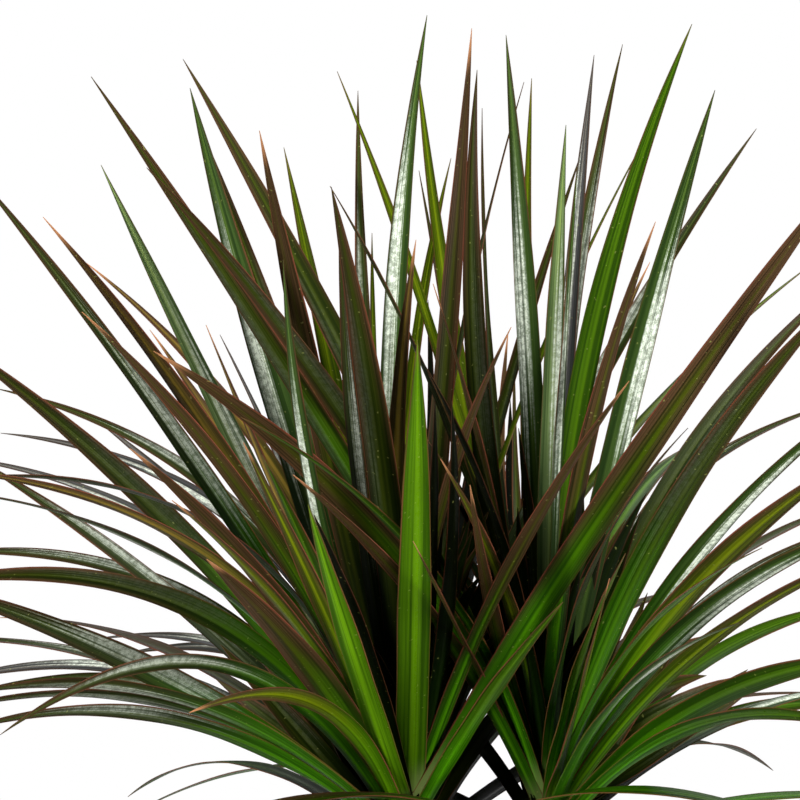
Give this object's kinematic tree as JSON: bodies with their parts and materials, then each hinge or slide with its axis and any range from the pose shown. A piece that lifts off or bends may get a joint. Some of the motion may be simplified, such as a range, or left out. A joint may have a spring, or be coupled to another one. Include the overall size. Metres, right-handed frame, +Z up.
{
  "type": "potted plant",
  "caption": "Potted dragon tree: two bare canes rise from a clay pot, each topped by a dense head of long, narrow, pointed leaves.",
  "frame": {"origin": "middle of the pot's underside, on the surface it stands on", "axes": "+Z up along the pot's axis, +X from the left head to the right head, +Y away from the viewer of the picture"},
  "size_m": [0.8457, 0.7966, 0.8171],
  "materials": {
    "clay": "matt unglazed fired clay with pale mineral bloom",
    "soil": "dark crumbly potting mix",
    "bark": "dry grey-tan bark ringed with leaf scars",
    "leaf": "satin leaf, dark green to lime, with thin red-brown margins"
  },
  "bodies": {
    "root": {"pot": "clay", "soil": "soil", "cane_left": "bark", "cane_right": "bark", "leaves_left": "leaf", "leaves_right": "leaf"}
  },
  "joints": []
}
